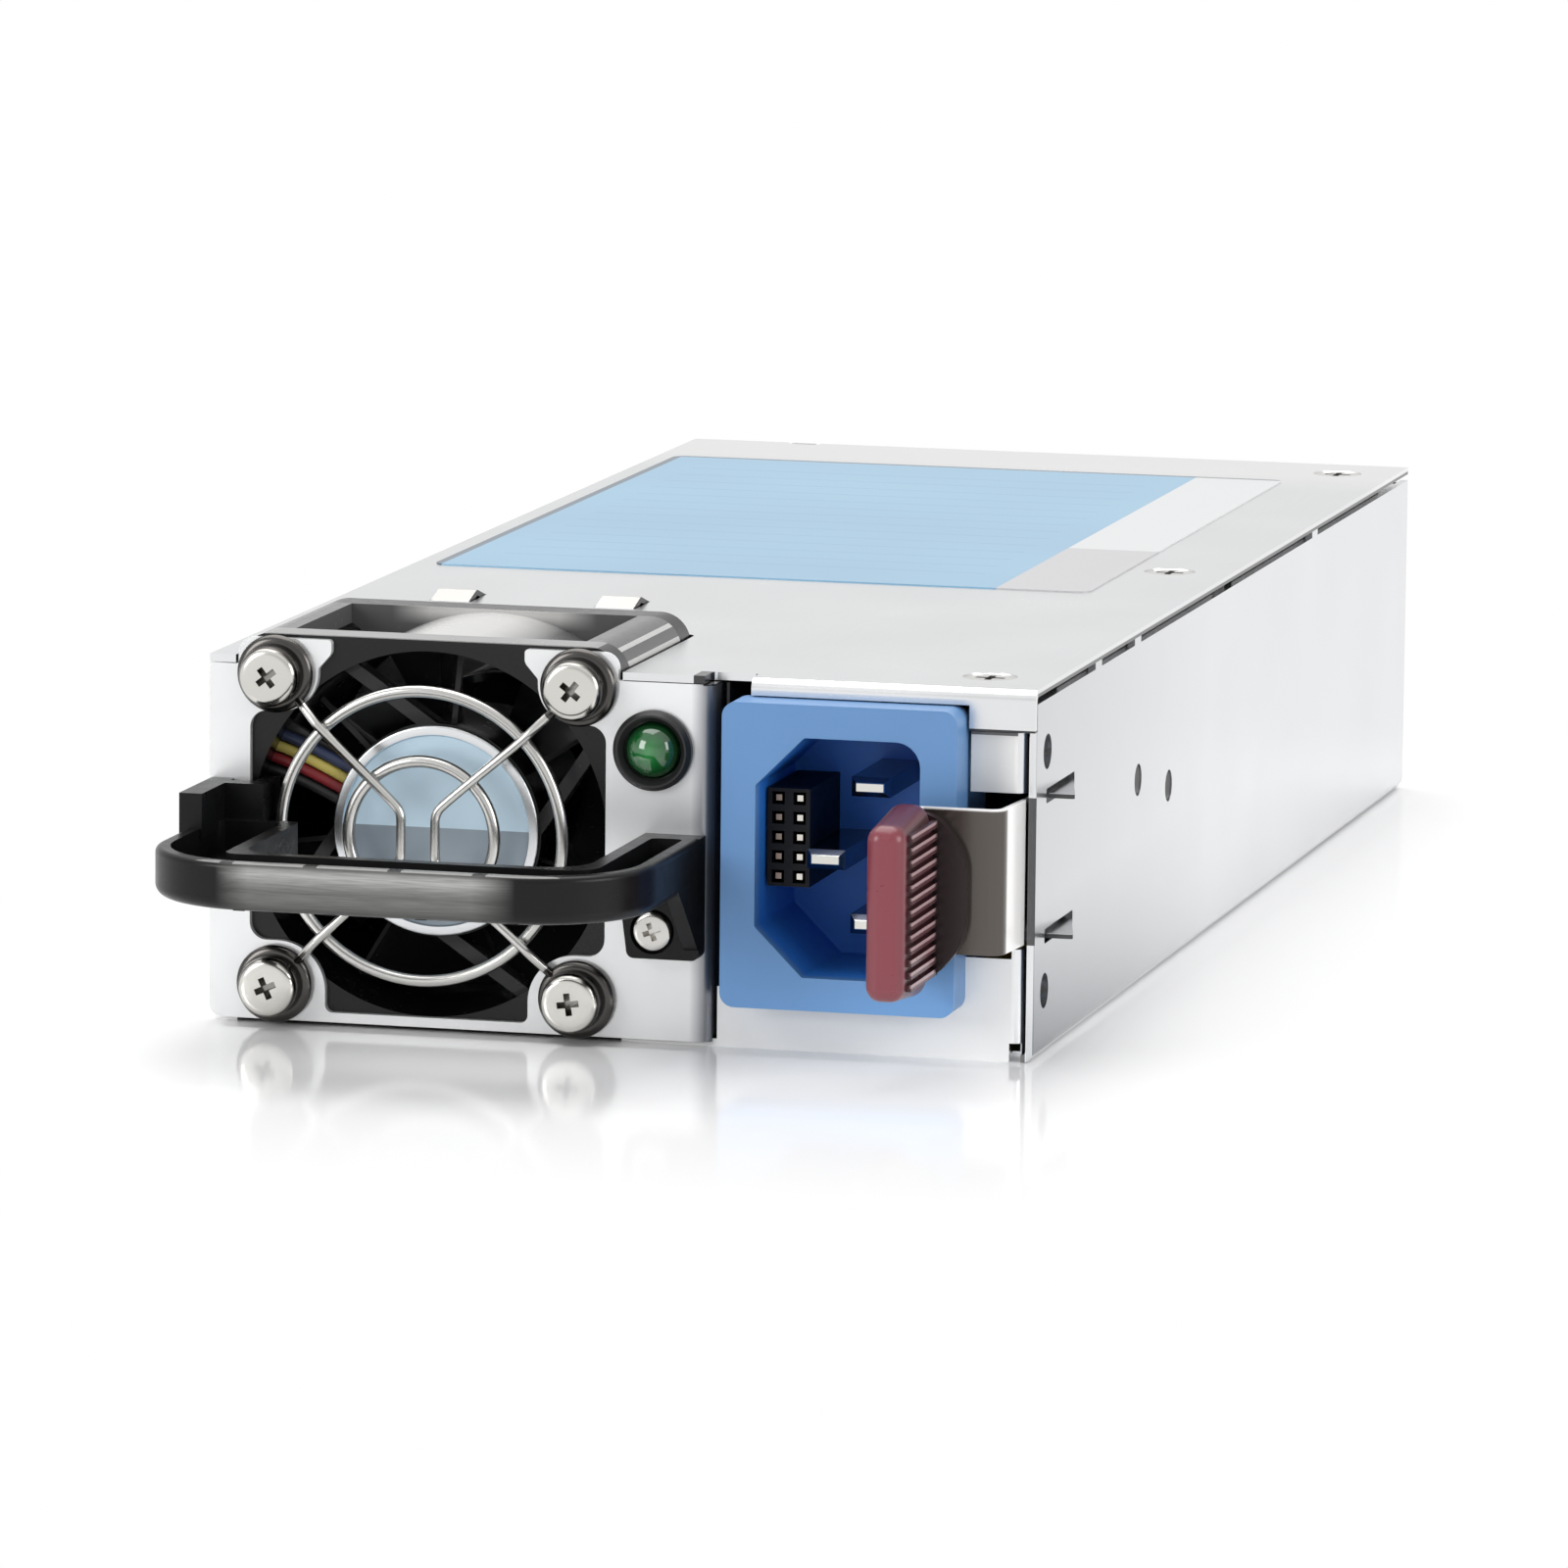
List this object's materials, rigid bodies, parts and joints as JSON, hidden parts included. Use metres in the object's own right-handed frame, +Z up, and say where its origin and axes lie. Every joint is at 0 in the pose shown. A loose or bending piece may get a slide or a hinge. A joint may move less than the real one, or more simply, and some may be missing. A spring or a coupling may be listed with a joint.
{
  "type": "hot swap server power supply",
  "caption": "Slim metal box with an axial fan, a U handle, a blue mains inlet and a squeeze latch at the front, and a card edge at the back.",
  "frame": {"origin": "centre of the case's bottom face, on the base mount", "axes": "+X to the right seen from the front, +Y from the front to the card edge at the rear, +Z up"},
  "size_m": [0.0891, 0.2355, 0.0403],
  "materials": {
    "zinc_sheet": "satin",
    "spring_steel": "polished",
    "screw_steel": "polished",
    "rivet_steel": "satin",
    "guard_wire": "satin",
    "shaft_steel": "polished",
    "fan_plastic": "satin",
    "handle_plastic": "satin",
    "black_nylon": "matte",
    "insulator_film": "satin",
    "blue_nylon": "satin",
    "maroon_plastic": "satin",
    "green_lens": "gloss",
    "silver_contact": "polished",
    "gold_contact": "polished",
    "board_laminate": "satin",
    "aluminium": "satin",
    "copper": "satin",
    "ferrite": "matte",
    "winding_tape": "gloss",
    "can_sleeve": "gloss",
    "moulded_epoxy": "matte",
    "film_case": "satin",
    "relay_case": "satin",
    "fuse_glass": "gloss",
    "white_nylon": "satin",
    "sintered_bronze": "matte",
    "lamination": "satin",
    "magnet": "matte",
    "lead_blue": "satin",
    "lead_yellow": "satin",
    "lead_red": "satin",
    "lead_black": "satin"
  },
  "bodies": {
    "chassis": {"chassis_tray": "zinc_sheet", "top_cover": "zinc_sheet", "fan_plate": "zinc_sheet", "rear_panel": "zinc_sheet", "cover_screws": "screw_steel", "insulator_sheet": "insulator_film", "fan_frame": "fan_plastic", "fan_bearings": "sintered_bronze", "fan_stator": "lamination", "fan_coils": "copper", "fan_circuit_board": "board_laminate", "fan_lead_blue": "lead_blue", "fan_lead_yellow": "lead_yellow", "fan_lead_red": "lead_red", "fan_lead_black": "lead_black", "fan_plug": "white_nylon", "finger_guard": "guard_wire", "guard_screws": "screw_steel", "led_bezel": "black_nylon", "led_lens": "green_lens", "led_board": "board_laminate", "handle": "handle_plastic", "handle_screw": "screw_steel", "inlet_housing": "blue_nylon", "contact_blades": "silver_contact", "signal_block": "black_nylon", "signal_contacts": "gold_contact", "inlet_leads": "lead_black", "latch_anchor": "spring_steel", "latch_rivets": "rivet_steel", "main_board": "board_laminate", "card_edge_contacts": "gold_contact", "board_standoffs": "rivet_steel", "board_screws": "screw_steel", "transformer_core": "ferrite", "transformer_winding": "winding_tape", "pfc_choke_core": "ferrite", "pfc_choke_winding": "copper", "emi_choke_core": "ferrite", "emi_choke_winding": "copper", "standby_transformer_core": "ferrite", "standby_transformer_winding": "winding_tape", "output_choke_core": "ferrite", "output_choke_winding": "copper", "bulk_capacitor": "can_sleeve", "x_capacitor": "film_case", "fuse": "fuse_glass", "relay": "relay_case", "primary_heatsink": "aluminium", "rectifier_heatsink": "aluminium", "primary_transistors": "moulded_epoxy", "bridge_rectifier": "moulded_epoxy", "output_capacitors": "can_sleeve", "output_busbar": "copper", "control_board": "board_laminate"},
    "fan_rotor": {"fan_impeller": "fan_plastic", "fan_shaft": "shaft_steel", "fan_magnet_ring": "magnet"},
    "latch": {"latch_spring": "spring_steel", "latch_grip": "maroon_plastic"}
  },
  "joints": [
    {"name": "fan_spin", "type": "hinge", "parent": "chassis", "child": "fan_rotor", "pos_m": [-0.0201, -0.0825, 0.0203], "axis": [0, 1, 0], "continuous": true},
    {"name": "latch_squeeze", "type": "hinge", "parent": "chassis", "child": "latch", "pos_m": [0.0419, -0.0543, 0.0194], "axis": [0, 0, -1], "range_deg": [0, 4.5], "stiffness_Nm_per_rad": 1, "springref_deg": -1.72}
  ]
}
